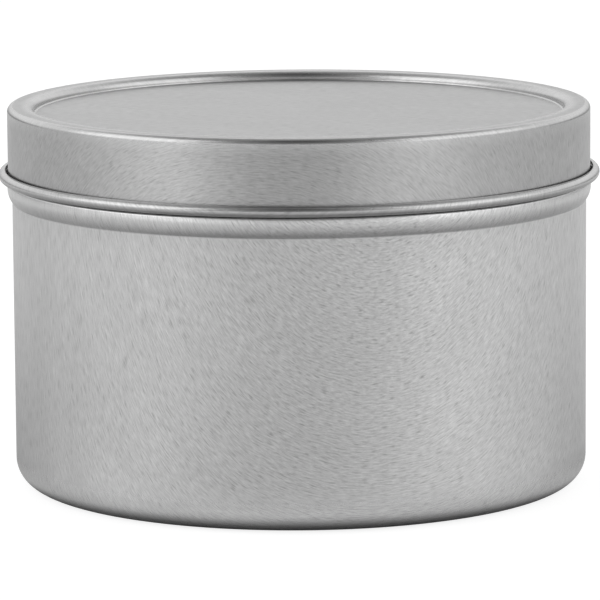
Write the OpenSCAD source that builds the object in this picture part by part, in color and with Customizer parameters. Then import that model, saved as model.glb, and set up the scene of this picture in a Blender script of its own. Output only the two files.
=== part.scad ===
// Deep round slip-lid tin of shoe polish: a drawn tinplate body with a rolled-in mouth and a
// seat bead, a drawn lid with a sunk panel and a rolled-out edge, and the cake of polish inside.
// Sizes are in millimetres. Z is up and the origin is the middle of the face the tin stands on.

/* [Body] */
// Outside diameter of the body wall
body_d = 80; // [60:0.5:110]
// Height of the body, from the standing face to the top of its rolled mouth
body_h = 52.7; // [40:0.1:90]
// Thickness of the tinplate sheet
sheet_t = 0.3; // [0.2:0.02:0.36]
// Outside radius of the bend between the wall and the base
base_corner_r = 3.8; // [2:0.1:7]
// Width of the flat ring that the tin stands on
foot_w = 1.5; // [0.8:0.1:4]
// Height that the base panel is pressed up above the standing face
base_rise = 1; // [0.8:0.05:2]

/* [Seat bead] */
// Distance from the top of the body down to the proudest point of the bead
neck_h = 10.6; // [8:0.1:16]
// How far the bead stands proud of the wall
bead_proud = 0.65; // [0.5:0.05:0.9]
// Height of the long flank below the proudest point, down to the crease at the wall
bead_flank_h = 2.2; // [1.5:0.1:3]
// Height of the short shoulder above the proudest point, up to the crease at the neck
bead_shoulder_h = 1.3; // [1:0.05:2]

/* [Rolled edges] */
// Outside diameter of the rolled edges of body and lid
curl_d = 1.34; // [1.2:0.02:2]
// Angle that the sheet turns through, from the wall to its cut edge
curl_turn = 290; // [240:5:295]

/* [Lid] */
// Gap between the body wall and the inside of the lid skirt, on the radius
lid_clearance = 0.25; // [0.15:0.01:0.4]
// Gap between the lid's rolled edge and the bead that it comes down on
seat_gap = 0.1; // [0.05:0.01:0.2]
// Gap between the rolled mouth of the body and the underside of the lid rim
lid_headroom = 0.2; // [0.1:0.05:1]
// Outside radius of the top corner of the lid
lid_corner_r = 0.65; // [0.5:0.05:1.5]
// Width of the flat top of the rim
rim_w = 2.35; // [1.8:0.05:5]
// Depth of the sunk panel below the rim
recess_depth = 1.3; // [1.25:0.05:3]
// Radius of the upper bend of the recess wall, on its top face
recess_lip_r = 0.65; // [0.4:0.05:0.75]
// Radius of the lower bend of the recess wall, on its top face
recess_foot_r = 0.35; // [0.1:0.05:0.45]

/* [Polish] */
// Distance from the top of the body down to the edge of the polish
polish_drop = 13.6; // [13:0.1:30]
// Gap that the cake leaves at the wall and base as it cools and shrinks
polish_gap = 0.15; // [0.1:0.01:0.25]
// How far the middle of the cake sinks below its edge as it cools
polish_sink = 0.8; // [0.2:0.1:2]

/* [Hidden] */
$fn = 96;

TINPLATE = "#b8babc";
WAX = "#1d1613";

// Places worked out below are kept to a thousandth of a millimetre.
function snap(x) = round(x * 1000) / 1000;

// Body radii, and the base step: two equal bends that take nine tenths of the rise
wall_r = snap(body_d / 2);
wall_in_r = snap(wall_r - sheet_t);
corner_r = snap(wall_r - base_corner_r);
step_r = snap((0.9 * base_rise + sheet_t) / 2);
step_top_z = snap(base_rise + sheet_t - step_r);
foot_in_r = snap(corner_r - foot_w);
step_wall_r = snap(foot_in_r - step_r);
base_panel_r = snap(step_wall_r + sheet_t - step_r);

// Bead: one arc for the flank and one for the shoulder, which meet upright at the proudest point
function bead_arc_r(height) = snap((height * height + bead_proud * bead_proud) / (2 * bead_proud));
bead_r = snap(wall_r + bead_proud);
bead_z = snap(body_h - neck_h);
flank_r = bead_arc_r(bead_flank_h);
shoulder_r = bead_arc_r(bead_shoulder_h);

// Rolled edges: the body's turns in, the lid's turns out and comes down on the bead's shoulder
curl_r = snap(curl_d / 2);
mouth_centre = [snap(wall_r - curl_r), snap(body_h - curl_r)];
lid_in_r = snap(wall_r + lid_clearance);
lid_r = snap(lid_in_r + sheet_t);
lid_curl_x = snap(lid_in_r + curl_r);
seat_reach = shoulder_r + curl_r + seat_gap;
seat_run = lid_curl_x - (bead_r - shoulder_r);
lid_curl_centre = [lid_curl_x, snap(bead_z + sqrt(seat_reach * seat_reach - seat_run * seat_run))];

// Lid heights and the centres of its bends
lid_top_z = snap(body_h + lid_headroom + sheet_t);
lid_corner = [snap(lid_r - lid_corner_r), snap(lid_top_z - lid_corner_r)];
lip_centre = [snap(lid_corner.x - rim_w), snap(lid_top_z - recess_lip_r)];
recess_r = snap(lip_centre.x - recess_lip_r);
panel_z = snap(lid_top_z - recess_depth);
panel_bend_centre = [snap(recess_r - recess_foot_r), snap(panel_z + recess_foot_r)];

// Polish heights
polish_r = snap(wall_in_r - polish_gap);
polish_z = snap(body_h - polish_drop);
polish_dish_r = snap((polish_r * polish_r + polish_sink * polish_sink) / (2 * polish_sink));

// A straight run of the section, between two opposite corners
module run(low, high) {
    translate(low) square([snap(high.x - low.x), snap(high.y - low.y)]);
}

// A square bend of the sheet: the quarter ring in the given quadrant, counted from +X, +Z
module bend(centre, outer_r, quadrant) {
    translate(centre) rotate(90 * quadrant) difference() {
        intersection() {
            circle(outer_r);
            square(outer_r);
        }
        circle(snap(outer_r - sheet_t));
    }
}

// A rolled edge: the sheet turns about the centre from angle 0 and stops short of the wall
module roll(centre) {
    open = 360 - curl_turn;
    reach = 2 * curl_r;
    translate(centre) difference() {
        circle(curl_r);
        circle(snap(curl_r - sheet_t));
        polygon([
            [0, 0],
            reach * [cos(open), -sin(open)],
            reach * [cos(open / 2), -sin(open / 2)],
            [reach, 0]
        ]);
    }
}

// Base: the raised panel, the step down, the standing ring and the corner up into the wall
module base_section() {
    run([0, base_rise], [base_panel_r, snap(base_rise + sheet_t)]);
    bend([base_panel_r, step_top_z], step_r, 0);
    run([step_wall_r, step_r], [snap(step_wall_r + sheet_t), step_top_z]);
    bend([foot_in_r, step_r], step_r, 2);
    run([foot_in_r, 0], [corner_r, sheet_t]);
    bend([corner_r, base_corner_r], base_corner_r, 3);
}

// The flank and shoulder of the bead as solid slices of discs, drawn in from the outside face
module bead_discs(inset) {
    intersection() {
        translate([snap(bead_r - flank_r), bead_z]) circle(snap(flank_r - inset));
        run([wall_in_r, snap(bead_z - bead_flank_h)], [bead_r, bead_z]);
    }
    intersection() {
        translate([snap(bead_r - shoulder_r), bead_z]) circle(snap(shoulder_r - inset));
        run([wall_in_r, bead_z], [bead_r, snap(bead_z + bead_shoulder_h)]);
    }
}

// Wall and neck: one straight sheet, swelled out into the seat bead
module wall_section() {
    difference() {
        union() {
            run([wall_in_r, base_corner_r], [wall_r, mouth_centre.y]);
            bead_discs(0);
        }
        bead_discs(sheet_t);
    }
}

// Drawn body with its mouth rolled inwards
module tin_body() {
    color(TINPLATE) rotate_extrude() {
        base_section();
        wall_section();
        roll(mouth_centre);
    }
}

// Recess wall of the lid: the bend down from the rim, a short wall and the bend into the panel
module recess_section() {
    bend(lip_centre, recess_lip_r, 1);
    run([recess_r, panel_bend_centre.y], [snap(recess_r + sheet_t), lip_centre.y]);
    bend(panel_bend_centre, snap(recess_foot_r + sheet_t), 3);
}

// Drawn slip lid with its skirt edge rolled outwards
module lid() {
    color(TINPLATE) rotate_extrude() {
        run([0, snap(panel_z - sheet_t)], [panel_bend_centre.x, panel_z]);
        recess_section();
        run([lip_centre.x, snap(lid_top_z - sheet_t)], [lid_corner.x, lid_top_z]);
        bend(lid_corner, lid_corner_r, 0);
        run([lid_in_r, lid_curl_centre.y], [lid_r, lid_corner.y]);
        translate(lid_curl_centre) rotate(180) roll([0, 0]);
    }
}

// Cake of polish, poured in hot: it follows the inside of the body and sinks in the middle
module polish() {
    cake_corner_r = snap(base_corner_r - sheet_t - polish_gap);
    step_clear_r = snap(step_wall_r + sheet_t + polish_gap);
    panel_clear_z = snap(base_rise + sheet_t + polish_gap);
    color(WAX) rotate_extrude() difference() {
        union() {
            run([0, snap(sheet_t + polish_gap)], [corner_r, base_corner_r]);
            translate([corner_r, base_corner_r]) intersection() {
                circle(cake_corner_r);
                translate([0, -cake_corner_r]) square(cake_corner_r);
            }
            run([0, base_corner_r], [polish_r, polish_z]);
        }
        run([0, 0], [step_clear_r, panel_clear_z]);
        translate([0, snap(polish_z - polish_sink + polish_dish_r)]) circle(polish_dish_r, $fn = 1440);
    }
}

tin_body();
polish();
lid();
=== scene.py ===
import math

import bpy
from mathutils import Matrix, Vector, kdtree


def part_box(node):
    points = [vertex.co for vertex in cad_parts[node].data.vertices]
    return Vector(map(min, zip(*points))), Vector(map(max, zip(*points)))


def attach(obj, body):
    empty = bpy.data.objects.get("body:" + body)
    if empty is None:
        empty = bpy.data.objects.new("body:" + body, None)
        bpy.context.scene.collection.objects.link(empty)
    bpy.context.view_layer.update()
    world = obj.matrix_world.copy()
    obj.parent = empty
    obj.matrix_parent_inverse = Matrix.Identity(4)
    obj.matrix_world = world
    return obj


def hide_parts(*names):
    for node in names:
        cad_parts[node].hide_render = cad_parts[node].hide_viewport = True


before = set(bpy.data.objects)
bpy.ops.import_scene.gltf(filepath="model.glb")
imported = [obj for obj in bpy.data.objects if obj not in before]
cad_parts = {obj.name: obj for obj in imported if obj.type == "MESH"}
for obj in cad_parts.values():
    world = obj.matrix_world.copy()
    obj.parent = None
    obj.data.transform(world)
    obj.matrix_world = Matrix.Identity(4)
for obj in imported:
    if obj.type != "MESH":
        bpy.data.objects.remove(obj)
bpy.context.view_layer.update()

# Tin body: a cup drawn from one round blank of tinplate that was brushed flat. Its wall is swelled
# into a bead that the lid comes down on, its mouth is rolled inwards, and its base is pressed up
# in a panel so that it stands on a narrow ring.
MM = 0.001
SHEET = 0.3 * MM
BEAD_PROUD = 0.65 * MM
BEAD_DROP = 11.0 * MM
BEAD_FLANK_HEIGHT = 1.8 * MM
BEAD_CREST_HEIGHT = 0.7 * MM
BEAD_CREST_R = 5.0 * MM
BEAD_SHOULDER_R = 0.55 * MM
CREASE_R = 0.4 * MM
BASE_CORNER_R = 3.8 * MM
FOOT_WIDTH = 1.5 * MM
BASE_RISE = 1.0 * MM
BASE_STEP_R = 0.6 * MM
CURL_R = 0.67 * MM
CURL_TURN = 290
STEPS_ROUND = 240
BODY_BRUSH_TURN = 15
BODY_COLOUR = 0.61
BODY_CONTRAST = 0.22
HAIRLINE_WAVES = (620, 6000)
NICK_WAVES = (640, 7000)
PATCH_WAVES = (45, 160)
WAVER_WAVES = (90, 120)
WAVER = 0.3 * MM
NOISE_LOW = 0.25
NOISE_HIGH = 0.75
NICK_START = 0.64
NICK_FULL = 0.84
PATCH_CONTRAST = 0.03
ROUGH_ON_DARK = 0.41
ROUGH_ON_LIGHT = 0.34
HAIRLINE_DEPTH = 0.01 * MM
BEND_FADE = 0.7
BEND_SMOOTHING = 0.68


def start_section(name, x, z):
    """A new piece that is one point of its section, in edit mode, and the list of its points.

    A point of the list is its x, its z, and 1 if it lies on a bend or 0 if not.
    """
    bpy.ops.object.select_all(action="DESELECT")
    bpy.ops.mesh.primitive_plane_add(size=MM)
    piece = bpy.context.object
    piece.name = name
    piece.data.name = name
    bpy.ops.object.mode_set(mode="EDIT")
    bpy.ops.mesh.merge(type="CENTER")
    bpy.ops.mesh.select_all(action="SELECT")
    bpy.ops.transform.translate(value=(x, 0, z))
    return piece, [(x, z, 0)]


def run_to(path, x, z, steps=1):
    """Extrudes the free end of the section straight to a new point."""
    from_x, from_z, _ = path[-1]
    step = ((x - from_x) / steps, 0, (z - from_z) / steps)
    for i in range(1, steps + 1):
        bpy.ops.mesh.extrude_region_move(TRANSFORM_OT_translate={"value": step})
        path.append((from_x + step[0] * i, from_z + step[2] * i, 0))


def bend(path, centre_x, centre_z, degrees, steps):
    """Spins the free end of the section round a centre; positive turns from +X towards +Z."""
    from_x, from_z, _ = path[-1]
    radius = math.hypot(from_x - centre_x, from_z - centre_z)
    start = math.atan2(from_z - centre_z, from_x - centre_x)
    turn = math.radians(degrees)
    bpy.ops.mesh.spin(steps=steps, angle=turn, center=(centre_x, 0, centre_z), axis=(0, 1, 0))
    for i in range(1, steps + 1):
        angle = start + turn * i / steps
        path.append((centre_x + radius * math.cos(angle), centre_z + radius * math.sin(angle), 1))


def spin_round():
    """Spins the whole section once round the tin's axis and closes its seam and its poles."""
    bpy.ops.mesh.select_all(action="SELECT")
    bpy.ops.mesh.spin(steps=STEPS_ROUND, angle=math.tau, center=(0, 0, 0), axis=(0, 0, 1))
    bpy.ops.mesh.select_all(action="SELECT")
    bpy.ops.mesh.remove_doubles(threshold=0.001 * MM)
    bpy.ops.mesh.normals_make_consistent(inside=False)
    bpy.ops.object.mode_set(mode="OBJECT")


def lay_out_blank(piece, path, brush_turn):
    """Gives each point its place on the flat blank, in metres, as the map "blank".

    A ring of the drawn piece keeps the area that it had in the blank. The blank is turned so that
    it was brushed along U. The attribute "burnish" is 1 where a tool has bent the sheet.
    """
    tree = kdtree.KDTree(len(path))
    blank_r = [path[0][0]]
    for i, (x, z, _) in enumerate(path):
        tree.insert((x, z, 0), i)
        if i:
            last_x, last_z, _ = path[i - 1]
            ring = (x + last_x) * math.hypot(x - last_x, z - last_z)
            blank_r.append(math.sqrt(blank_r[-1] ** 2 + ring))
    tree.balance()
    turn = Matrix.Rotation(math.radians(-brush_turn), 2)
    burnish = piece.data.attributes.new("burnish", "FLOAT", "POINT")
    places = []
    for vertex in piece.data.vertices:
        x, y, z = vertex.co
        r = math.hypot(x, y)
        nearest = tree.find((r, z, 0))[1]
        burnish.data[vertex.index].value = path[nearest][2]
        places.append(turn @ Vector((x, y)) * (blank_r[nearest] / max(r, 0.001 * MM)))
    layer = piece.data.uv_layers.new(name="blank")
    for loop in piece.data.loops:
        layer.data[loop.index].uv = places[loop.vertex_index]


def thicken(piece):
    """Gives the sheet its thickness, away from the face that the section was drawn on."""
    modifier = piece.modifiers.new("sheet", "SOLIDIFY")
    modifier.thickness = SHEET
    modifier.offset = -1
    modifier.use_even_offset = True
    bpy.ops.object.modifier_apply(modifier=modifier.name)
    bpy.ops.object.shade_smooth_by_angle(angle=math.radians(30))


body_low, body_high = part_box("tin_body")
bead_r = body_high[0]
bead_z = body_high[2] - BEAD_DROP
wall_r = bead_r - BEAD_PROUD
corner_x = wall_r - BASE_CORNER_R
foot_x = corner_x - FOOT_WIDTH
step_x = foot_x - BASE_STEP_R
base_panel_x = step_x - (BASE_STEP_R - SHEET)
mouth_z = body_high[2] - CURL_R


def crease_beside(arc_x, arc_r):
    """How far above or below an arc of the bead its crease lies, and the turn where they meet."""
    run = wall_r + CREASE_R - arc_x
    reach = arc_r + CREASE_R
    return math.sqrt(reach ** 2 - run ** 2), math.degrees(math.acos(run / reach))


flank_r = (BEAD_FLANK_HEIGHT ** 2 + BEAD_PROUD ** 2) / (2 * BEAD_PROUD)
flank_drop, flank_turn = crease_beside(bead_r - flank_r, flank_r)
crest_x = bead_r - BEAD_CREST_R
crest_turn = math.asin(BEAD_CREST_HEIGHT / BEAD_CREST_R)
shoulder_x = crest_x + (BEAD_CREST_R - BEAD_SHOULDER_R) * math.cos(crest_turn)
shoulder_z = bead_z + (BEAD_CREST_R - BEAD_SHOULDER_R) * math.sin(crest_turn)
shoulder_rise, shoulder_turn = crease_beside(shoulder_x, BEAD_SHOULDER_R)

body, body_path = start_section("tin_body_shell", 0, BASE_RISE)
run_to(body_path, base_panel_x, BASE_RISE, steps=6)
bend(body_path, base_panel_x, BASE_RISE - (BASE_STEP_R - SHEET), -90, 6)
run_to(body_path, step_x, BASE_STEP_R)
bend(body_path, foot_x, BASE_STEP_R, 90, 8)
run_to(body_path, corner_x, 0)
bend(body_path, corner_x, BASE_CORNER_R, 90, 16)
run_to(body_path, wall_r, bead_z - flank_drop, steps=14)
bend(body_path, wall_r + CREASE_R, bead_z - flank_drop, -flank_turn, 5)
bend(body_path, bead_r - flank_r, bead_z, flank_turn, 12)
bend(body_path, crest_x, bead_z, math.degrees(crest_turn), 5)
bend(body_path, shoulder_x, shoulder_z, shoulder_turn - math.degrees(crest_turn), 8)
bend(body_path, wall_r + CREASE_R, shoulder_z + shoulder_rise, -shoulder_turn, 6)
run_to(body_path, wall_r, mouth_z, steps=4)
bend(body_path, wall_r - CURL_R, mouth_z, CURL_TURN, 30)
spin_round()
lay_out_blank(body, body_path, BODY_BRUSH_TURN)


def remap(nodes, links, value, low, high, to_low, to_high):
    """A Map Range node that takes a value from one range to another."""
    node = nodes.new("ShaderNodeMapRange")
    node.inputs["From Min"].default_value = low
    node.inputs["From Max"].default_value = high
    node.inputs["To Min"].default_value = to_low
    node.inputs["To Max"].default_value = to_high
    links.new(value, node.inputs["Value"])
    return node.outputs["Result"]


def combine(nodes, links, operation, first, second):
    """A Math node on two sockets, or on a socket and a number."""
    node = nodes.new("ShaderNodeMath")
    node.operation = operation
    for socket, value in zip(node.inputs, (first, second)):
        if isinstance(value, (int, float)):
            socket.default_value = value
        else:
            links.new(value, socket)
    return node.outputs["Value"]


def stretched_noise(nodes, links, place, waves, detail):
    """Noise with so many waves to the metre along the brush lines and across them."""
    stretch = nodes.new("ShaderNodeVectorMath")
    stretch.operation = "MULTIPLY"
    stretch.inputs[1].default_value = (*waves, 1)
    links.new(place, stretch.inputs[0])
    noise = nodes.new("ShaderNodeTexNoise")
    noise.noise_dimensions = "2D"
    noise.inputs["Scale"].default_value = 1
    noise.inputs["Detail"].default_value = detail
    noise.inputs["Roughness"].default_value = 0.7
    links.new(stretch.outputs["Vector"], noise.inputs["Vector"])
    return noise.outputs["Fac"]


def brush_group():
    """Shader group of the marks that brushing leaves in a flat sheet, drawn out with it later."""
    group = bpy.data.node_groups.new("drawn brush marks", "ShaderNodeTree")
    for name in ("Hairlines", "Patches", "Nicks"):
        group.interface.new_socket(name, in_out="OUTPUT", socket_type="NodeSocketFloat")
    nodes, links = group.nodes, group.links
    outputs = nodes.new("NodeGroupOutput")
    place = nodes.new("ShaderNodeUVMap")
    place.uv_map = "blank"
    waver = stretched_noise(nodes, links, place.outputs["UV"], WAVER_WAVES, 1)
    waver = remap(nodes, links, waver, 0, 1, -WAVER, WAVER)
    shift = nodes.new("ShaderNodeCombineXYZ")
    links.new(waver, shift.inputs["Y"])
    wavering = nodes.new("ShaderNodeVectorMath")
    links.new(place.outputs["UV"], wavering.inputs[0])
    links.new(shift.outputs["Vector"], wavering.inputs[1])
    brushed = wavering.outputs["Vector"]
    hairlines = stretched_noise(nodes, links, brushed, HAIRLINE_WAVES, 5)
    patches = stretched_noise(nodes, links, brushed, PATCH_WAVES, 2)
    nicks = stretched_noise(nodes, links, brushed, NICK_WAVES, 0)
    links.new(hairlines, outputs.inputs["Hairlines"])
    links.new(patches, outputs.inputs["Patches"])
    links.new(remap(nodes, links, nicks, NICK_START, NICK_FULL, 0, 1), outputs.inputs["Nicks"])
    return group


brush_marks = brush_group()


def brushed_tinplate(name, colour, contrast):
    """Satin tinplate that was brushed before it was drawn, and smoothed where it was bent."""
    material = bpy.data.materials.new(name)
    material.use_nodes = True
    nodes, links = material.node_tree.nodes, material.node_tree.links
    shader = nodes["Principled BSDF"]
    shader.inputs["Metallic"].default_value = 1
    shader.inputs["Anisotropic"].default_value = 0.7
    shader.inputs["Anisotropic Rotation"].default_value = 0.25
    tangent = nodes.new("ShaderNodeTangent")
    tangent.direction_type = "UV_MAP"
    tangent.uv_map = "blank"
    links.new(tangent.outputs["Tangent"], shader.inputs["Tangent"])
    marks = nodes.new("ShaderNodeGroup")
    marks.node_tree = brush_marks
    hairlines = marks.outputs["Hairlines"]
    nicks = marks.outputs["Nicks"]
    burnish = nodes.new("ShaderNodeAttribute")
    burnish.attribute_name = "burnish"
    fade = remap(nodes, links, burnish.outputs["Fac"], 0, 1, 1, BEND_FADE)
    sheen = remap(nodes, links, hairlines, NOISE_LOW, NOISE_HIGH, -contrast, contrast)
    dark = combine(nodes, links, "MULTIPLY", nicks, contrast)
    sheen = combine(nodes, links, "SUBTRACT", sheen, dark)
    sheen = combine(nodes, links, "MULTIPLY", sheen, fade)
    sheen = combine(nodes, links, "ADD", sheen, 1)
    dull, bright = (1 - PATCH_CONTRAST) * colour, (1 + PATCH_CONTRAST) * colour
    cloud = remap(nodes, links, marks.outputs["Patches"], NOISE_LOW, NOISE_HIGH, dull, bright)
    links.new(combine(nodes, links, "MULTIPLY", sheen, cloud), shader.inputs["Base Color"])
    rough = remap(nodes, links, hairlines, NOISE_LOW, NOISE_HIGH, ROUGH_ON_DARK, ROUGH_ON_LIGHT)
    smoothed = remap(nodes, links, burnish.outputs["Fac"], 0, 1, 1, BEND_SMOOTHING)
    links.new(combine(nodes, links, "MULTIPLY", rough, smoothed), shader.inputs["Roughness"])
    bump = nodes.new("ShaderNodeBump")
    bump.inputs["Strength"].default_value = 0.3
    bump.inputs["Distance"].default_value = HAIRLINE_DEPTH
    links.new(combine(nodes, links, "SUBTRACT", hairlines, nicks), bump.inputs["Height"])
    links.new(bump.outputs["Normal"], shader.inputs["Normal"])
    return material


body.data.materials.append(brushed_tinplate("brushed tinplate, body", BODY_COLOUR, BODY_CONTRAST))
thicken(body)
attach(body, "tin")
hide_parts("tin_body")

# Polish: a cake of black wax polish, poured into the body hot. As it sets it draws back from the
# wall, sinks in the middle and keeps a skin that is faintly uneven and clouded with bloom.
POLISH_SINK = 0.8 * MM
POLISH_EDGE_R = 0.6 * MM
POLISH_GAP = 0.15 * MM
SKIN_SWELL = 0.35 * MM
SKIN_SWELL_WIDTH = 11 * MM
SKIN_FLAT_EDGE = 4 * MM
WAX_COLOUR = (0.010, 0.008, 0.007, 1)
BLOOM_COLOUR = (0.042, 0.038, 0.035, 1)
WAX_ROUGHNESS = 0.2
BLOOM_ROUGHNESS = 0.42
BLOOM_WAVES = 95
GRAIN_WAVES = 1400
GRAIN_ROUGHNESS = 0.04
GRAIN_DEPTH = 0.03 * MM
polish_low, polish_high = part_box("polish")
polish_r = polish_high[0]
polish_z = polish_high[2]
dish_r = (polish_r ** 2 + POLISH_SINK ** 2) / (2 * POLISH_SINK)
edge_x = polish_r - POLISH_EDGE_R
cake_corner_r = BASE_CORNER_R - SHEET - POLISH_GAP
relief_x = step_x + SHEET + POLISH_GAP
relief_z = BASE_RISE + SHEET + POLISH_GAP

polish, polish_path = start_section("polish_cake", 0, polish_z - POLISH_SINK)
bend(polish_path, 0, polish_z - POLISH_SINK + dish_r, math.degrees(math.asin(edge_x / dish_r)), 40)
bend(polish_path, edge_x, polish_path[-1][1] - POLISH_EDGE_R, -90, 6)
run_to(polish_path, polish_r, polish_low[2] + cake_corner_r, steps=8)
bend(polish_path, corner_x, polish_low[2] + cake_corner_r, -90, 10)
run_to(polish_path, relief_x, polish_low[2])
run_to(polish_path, relief_x, relief_z)
run_to(polish_path, 0, relief_z, steps=6)
spin_round()
skin = polish.vertex_groups.new(name="skin")
for vertex in polish.data.vertices:
    inset = edge_x - math.hypot(vertex.co.x, vertex.co.y)
    if vertex.co.z > polish_z - 2 * POLISH_SINK and inset > 0:
        skin.add([vertex.index], min(inset / SKIN_FLAT_EDGE, 1), "REPLACE")
swell = bpy.data.textures.new("swell of the skin", "CLOUDS")
swell.noise_scale = SKIN_SWELL_WIDTH
swell.noise_depth = 1
uneven = polish.modifiers.new("uneven skin", "DISPLACE")
uneven.texture = swell
uneven.texture_coords = "LOCAL"
uneven.direction = "Z"
uneven.strength = SKIN_SWELL
uneven.vertex_group = skin.name
bpy.ops.object.modifier_apply(modifier=uneven.name)
bpy.ops.object.shade_smooth_by_angle(angle=math.radians(40))


def wax_polish():
    """Black wax with a soft gloss, clouded here and there by a thin bloom."""
    material = bpy.data.materials.new("black wax polish")
    material.use_nodes = True
    nodes, links = material.node_tree.nodes, material.node_tree.links
    shader = nodes["Principled BSDF"]
    shader.inputs["Specular IOR Level"].default_value = 0.45
    place = nodes.new("ShaderNodeTexCoord")
    clouds = nodes.new("ShaderNodeTexNoise")
    clouds.inputs["Scale"].default_value = BLOOM_WAVES
    clouds.inputs["Detail"].default_value = 4
    grain = nodes.new("ShaderNodeTexNoise")
    grain.inputs["Scale"].default_value = GRAIN_WAVES
    grain.inputs["Detail"].default_value = 3
    for noise in (clouds, grain):
        links.new(place.outputs["Object"], noise.inputs["Vector"])
    bloom = remap(nodes, links, clouds.outputs["Fac"], 0.45, 0.75, 0, 1)
    colour = nodes.new("ShaderNodeMix")
    colour.data_type = "RGBA"
    colour.inputs["A"].default_value = WAX_COLOUR
    colour.inputs["B"].default_value = BLOOM_COLOUR
    links.new(bloom, colour.inputs["Factor"])
    links.new(colour.outputs["Result"], shader.inputs["Base Color"])
    haze = remap(nodes, links, bloom, 0, 1, WAX_ROUGHNESS, BLOOM_ROUGHNESS)
    speckle = remap(nodes, links, grain.outputs["Fac"], 0.3, 0.7, -GRAIN_ROUGHNESS, GRAIN_ROUGHNESS)
    links.new(combine(nodes, links, "ADD", haze, speckle), shader.inputs["Roughness"])
    bump = nodes.new("ShaderNodeBump")
    bump.inputs["Strength"].default_value = 0.3
    bump.inputs["Distance"].default_value = GRAIN_DEPTH
    links.new(grain.outputs["Fac"], bump.inputs["Height"])
    links.new(bump.outputs["Normal"], shader.inputs["Normal"])
    return material


polish.data.materials.append(wax_polish())
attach(polish, "tin")
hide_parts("polish")

# Lid: a shallow cup drawn from one round blank of the same sheet. Its panel is sunk below a flat
# rim, its skirt slips over the neck, and the skirt's edge is rolled outwards.
LID_CORNER_R = 0.8 * MM
RIM_WIDTH = 1.85 * MM
RECESS_DEPTH = 1.3 * MM
LIP_R = 1.0 * MM
PANEL_BEND_R = 0.27 * MM
LID_CURL_R = 0.71 * MM
LID_CURL_FLAT = 0.18 * MM
LID_BRUSH_TURN = -10
LID_COLOUR = 0.49
LID_CONTRAST = 0.18
lid_low, lid_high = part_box("lid")
lid_top = lid_high[2]
lid_in_r = lid_high[0] - 2 * CURL_R
lid_r = lid_in_r + SHEET
lid_curl_x = lid_in_r + LID_CURL_R
lid_curl_z = lid_low[2] + LID_CURL_R
lid_corner_x = lid_r - LID_CORNER_R
lip_x = lid_corner_x - RIM_WIDTH
recess_x = lip_x - LIP_R
panel_z = lid_top - RECESS_DEPTH

lid, lid_path = start_section("lid_shell", 0, panel_z)
run_to(lid_path, recess_x - PANEL_BEND_R, panel_z, steps=6)
bend(lid_path, recess_x - PANEL_BEND_R, panel_z + PANEL_BEND_R, 90, 8)
run_to(lid_path, recess_x, lid_top - LIP_R)
bend(lid_path, lip_x, lid_top - LIP_R, -90, 10)
run_to(lid_path, lid_corner_x, lid_top, steps=2)
bend(lid_path, lid_corner_x, lid_top - LID_CORNER_R, -90, 10)
run_to(lid_path, lid_r, lid_curl_z, steps=6)
bend(lid_path, lid_curl_x, lid_curl_z, 90, 8)
run_to(lid_path, lid_curl_x + LID_CURL_FLAT, lid_path[-1][1])
bend(lid_path, lid_curl_x + LID_CURL_FLAT, lid_curl_z, 180, 20)
run_to(lid_path, lid_curl_x, lid_path[-1][1])
spin_round()
lay_out_blank(lid, lid_path, LID_BRUSH_TURN)
lid.data.materials.append(brushed_tinplate("brushed tinplate, lid", LID_COLOUR, LID_CONTRAST))
thicken(lid)
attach(lid, "lid")
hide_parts("lid")

# Floor: a plain white table top. The camera sees it evenly white; the metal mirrors a painted glow:
# a painted sheen, paler at a low angle, painted shade beside and behind the tin, painted light thrown
# on it in front and a painted shadow under the base. It runs out into the white background.
FLOOR_R = 1
TABLE_GREY = 0.3
TABLE_SEEN = 0.84
# Strengths of the painted sheen, shade and light, which glow only in the metal's reflections of the table.
PAINTED_SHEEN = 0.51
PAINTED_SHEEN_BLEND = 0.75
PAINTED_SHEEN_IN_FRONT = 0.96
PAINTED_SHEEN_BESIDE = 1.13
PAINTED_SHADE = 0.58
PAINTED_SHADE_NEAR = 50 * MM
PAINTED_SHADE_FAR = 250 * MM
PAINTED_THROWN_LIGHT = 0.3
PAINTED_LIGHT_NEAR = wall_r + 2 * MM
PAINTED_LIGHT_FAR = wall_r + 9 * MM
PAINTED_SHADOW_FULL = wall_r - 1.6 * MM
PAINTED_SHADOW_END = wall_r + 0.4 * MM
bpy.ops.object.select_all(action="DESELECT")
bpy.ops.mesh.primitive_circle_add(vertices=96, radius=FLOOR_R, fill_type="NGON")
floor = bpy.context.object
floor.name = "floor"
floor_material = bpy.data.materials.new("white table")
floor_material.use_nodes = True
nodes, links = floor_material.node_tree.nodes, floor_material.node_tree.links
floor_shader = nodes["Principled BSDF"]
floor_shader.inputs["Base Color"].default_value = (TABLE_GREY, TABLE_GREY, TABLE_GREY, 1)
floor_shader.inputs["Roughness"].default_value = 1
floor_shader.inputs["Specular IOR Level"].default_value = 0
floor_shader.inputs["Emission Color"].default_value = (1, 1, 1, 1)
place = nodes.new("ShaderNodeTexCoord")
split = nodes.new("ShaderNodeSeparateXYZ")
links.new(place.outputs["Object"], split.inputs["Vector"])
reach = nodes.new("ShaderNodeVectorMath")
reach.operation = "LENGTH"
links.new(place.outputs["Object"], reach.inputs[0])
far = reach.outputs["Value"]
back = combine(nodes, links, "DIVIDE", split.outputs["Y"], far)

# Painted sheen: a glow on the table, paler at a low angle, that only reflections see.
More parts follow.
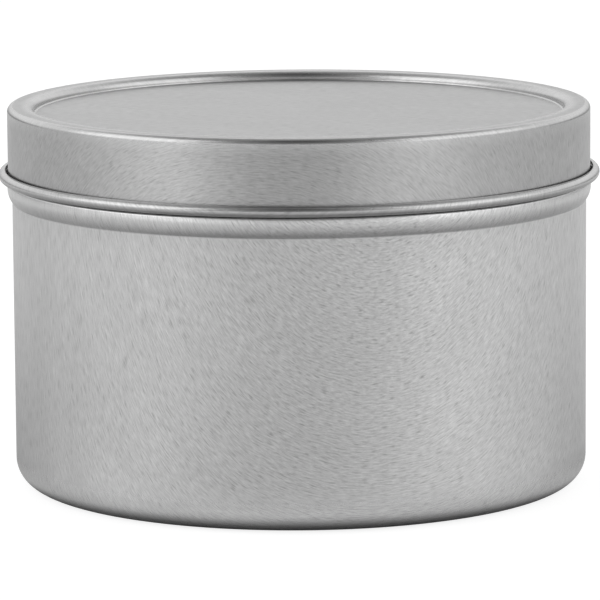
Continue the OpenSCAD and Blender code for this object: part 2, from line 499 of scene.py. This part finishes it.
slant = nodes.new("ShaderNodeLayerWeight")
slant.inputs["Blend"].default_value = PAINTED_SHEEN_BLEND
sheen = remap(nodes, links, slant.outputs["Facing"], 0, 1, 0, PAINTED_SHEEN)
around = remap(nodes, links, back, -1, -0.7, PAINTED_SHEEN_IN_FRONT, PAINTED_SHEEN_BESIDE)
sheen = combine(nodes, links, "MULTIPLY", sheen, around)
# Painted shade on the table beside and behind the tin, fading out away from it.
painted_shade = remap(nodes, links, back, -0.6, 0.3, 0, PAINTED_SHADE)
painted_shade = combine(nodes, links, "MULTIPLY", painted_shade, remap(nodes, links, far, PAINTED_SHADE_NEAR, PAINTED_SHADE_FAR, 1, 0))
sheen = combine(nodes, links, "MULTIPLY", sheen, combine(nodes, links, "SUBTRACT", 1, painted_shade))
# Painted light thrown on the table just in front of the tin.
painted_thrown_light = remap(nodes, links, back, -1, -0.55, PAINTED_THROWN_LIGHT, 0)
painted_thrown_light = combine(nodes, links, "MULTIPLY", painted_thrown_light, remap(nodes, links, far, PAINTED_LIGHT_NEAR, PAINTED_LIGHT_FAR, 1, 0))
sheen = combine(nodes, links, "ADD", sheen, painted_thrown_light)
# Painted shadow under the base: the table has no glow there and fades in just past the wall.
outside_painted_contact_shadow = remap(nodes, links, far, PAINTED_SHADOW_FULL, PAINTED_SHADOW_END, 0, 1)
sheen = combine(nodes, links, "MULTIPLY", sheen, outside_painted_contact_shadow)
# Reflections see the painted glow; the camera sees the table evenly white.
ray = nodes.new("ShaderNodeLightPath")
painted_glow_in_reflections = combine(nodes, links, "MULTIPLY", ray.outputs["Is Glossy Ray"], sheen)
seen = combine(nodes, links, "MULTIPLY", ray.outputs["Is Camera Ray"], TABLE_SEEN)
links.new(combine(nodes, links, "ADD", seen, painted_glow_in_reflections), floor_shader.inputs["Emission Strength"])
floor.data.materials.append(floor_material)

# Studio: a white tent that is open towards the camera, and dimmer overhead, at the sides and low
# down at the back. A low white card stands in front of the tin and a soft box on each side of it.
TENT_LIGHT = 1.2
TENT_TOP = 0.4
TENT_OPENING = 0.2
TENT_SIDES = 0.8
BACK_DIM = 0.7
CARD_LIGHT = 0.9
CARD_TOP = 0.35
SOFT_BOX_ELEVATION = 34
SOFT_BOX_DISTANCE = 0.75
SOFT_BOX_SIZE = (0.7, 0.6)
world = bpy.data.worlds.new("studio")
bpy.context.scene.world = world
world.use_nodes = True
nodes, links = world.node_tree.nodes, world.node_tree.links
background = nodes["Background"]
background.inputs["Color"].default_value = (1, 1, 1, 1)
direction = nodes.new("ShaderNodeTexCoord")
split = nodes.new("ShaderNodeSeparateXYZ")
links.new(direction.outputs["Generated"], split.inputs["Vector"])
height = split.outputs["Z"]
level = nodes.new("ShaderNodeVectorMath")
level.operation = "MULTIPLY"
level.inputs[1].default_value = (1, 1, 0)
links.new(direction.outputs["Generated"], level.inputs[0])
heading = nodes.new("ShaderNodeVectorMath")
heading.operation = "NORMALIZE"
links.new(level.outputs["Vector"], heading.inputs[0])
split_heading = nodes.new("ShaderNodeSeparateXYZ")
links.new(heading.outputs["Vector"], split_heading.inputs["Vector"])
back = split_heading.outputs["Y"]

front = remap(nodes, links, back, -1, -0.65, TENT_OPENING, 1)
sides = remap(nodes, links, back, 0.2, 0.8, TENT_SIDES, 1)
top = remap(nodes, links, height, 0.5, 1, TENT_LIGHT, TENT_TOP)
tent = combine(nodes, links, "MULTIPLY", combine(nodes, links, "MULTIPLY", front, sides), top)
low = remap(nodes, links, height, 0.03, 0.2, 1, 0)
dim = combine(nodes, links, "MULTIPLY", low, remap(nodes, links, back, 0, 0.8, 0, BACK_DIM))
tent = combine(nodes, links, "MULTIPLY", tent, combine(nodes, links, "SUBTRACT", 1, dim))
card = remap(nodes, links, height, 0, CARD_TOP, CARD_LIGHT, 0)
card = combine(nodes, links, "MULTIPLY", card, remap(nodes, links, back, -1, 0, 1, 0))
room = combine(nodes, links, "ADD", tent, card)
ray = nodes.new("ShaderNodeLightPath")
light = combine(nodes, links, "MAXIMUM", ray.outputs["Is Camera Ray"], room)
links.new(light, background.inputs["Strength"])

for side, azimuth, radiance in (("left", -72, 0.66), ("right", 72, 0.45)):
    box = bpy.data.lights.new("soft box, " + side, "AREA")
    box.shape = "RECTANGLE"
    box.size, box.size_y = SOFT_BOX_SIZE
    box.energy = 4 * radiance * box.size * box.size_y
    lamp = bpy.data.objects.new(box.name, box)
    bpy.context.scene.collection.objects.link(lamp)
    turn = Matrix.Rotation(math.radians(azimuth), 4, "Z")
    tilt = Matrix.Rotation(math.radians(90 - SOFT_BOX_ELEVATION), 4, "X")
    lamp.matrix_world = turn @ tilt @ Matrix.Translation((0, 0, SOFT_BOX_DISTANCE))
    lamp.visible_camera = False

# Camera: the photograph's view, from a little above the lid with a long lens. It looks at a point
# on the tin's axis, just below half its height, and is rolled a little.
CAMERA_DISTANCE = 697.4 * MM
CAMERA_ELEVATION = math.radians(9.19)
CAMERA_ROLL = math.radians(-0.4)
CAMERA_LENS = 298.7
TARGET_HEIGHT = 25.28 * MM
camera_data = bpy.data.cameras.new("camera")
camera_data.lens = CAMERA_LENS
camera_data.sensor_width = 36
camera = bpy.data.objects.new("camera", camera_data)
bpy.context.scene.collection.objects.link(camera)
camera_y = -CAMERA_DISTANCE * math.cos(CAMERA_ELEVATION)
camera_z = TARGET_HEIGHT + CAMERA_DISTANCE * math.sin(CAMERA_ELEVATION)
aim = Matrix.Rotation(math.pi / 2 - CAMERA_ELEVATION, 4, "X")
roll = Matrix.Rotation(CAMERA_ROLL, 4, "Z")
camera.matrix_world = Matrix.Translation((0, camera_y, camera_z)) @ aim @ roll
bpy.context.scene.camera = camera
bpy.context.scene.view_settings.view_transform = "Standard"
